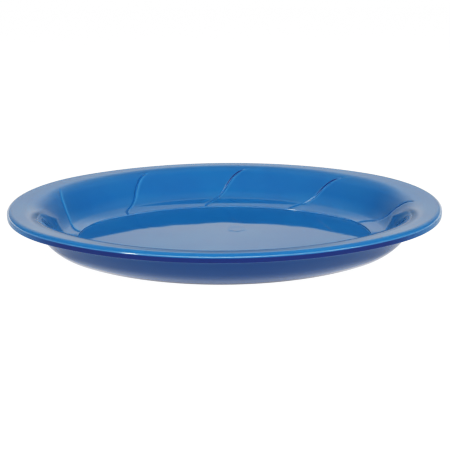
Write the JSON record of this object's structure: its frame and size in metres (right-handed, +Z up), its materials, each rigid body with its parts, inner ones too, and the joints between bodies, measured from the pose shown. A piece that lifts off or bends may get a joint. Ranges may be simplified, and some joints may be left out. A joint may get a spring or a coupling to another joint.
{
  "type": "oval serving platter",
  "caption": "Shallow oval plastic serving platter with a broad rolled rim, S-curved grooves in its sloping wall and a flat floor on a low foot ring.",
  "frame": {"origin": "centre of the flat plane that the foot ring rests on", "axes": "+X along the platter's long axis, +Y along its short axis, +Z up"},
  "size_m": [0.318, 0.251, 0.0373],
  "materials": {
    "blue_plastic": "polished moulded plastic"
  },
  "bodies": {
    "root": {"platter": "blue_plastic"}
  },
  "joints": []
}
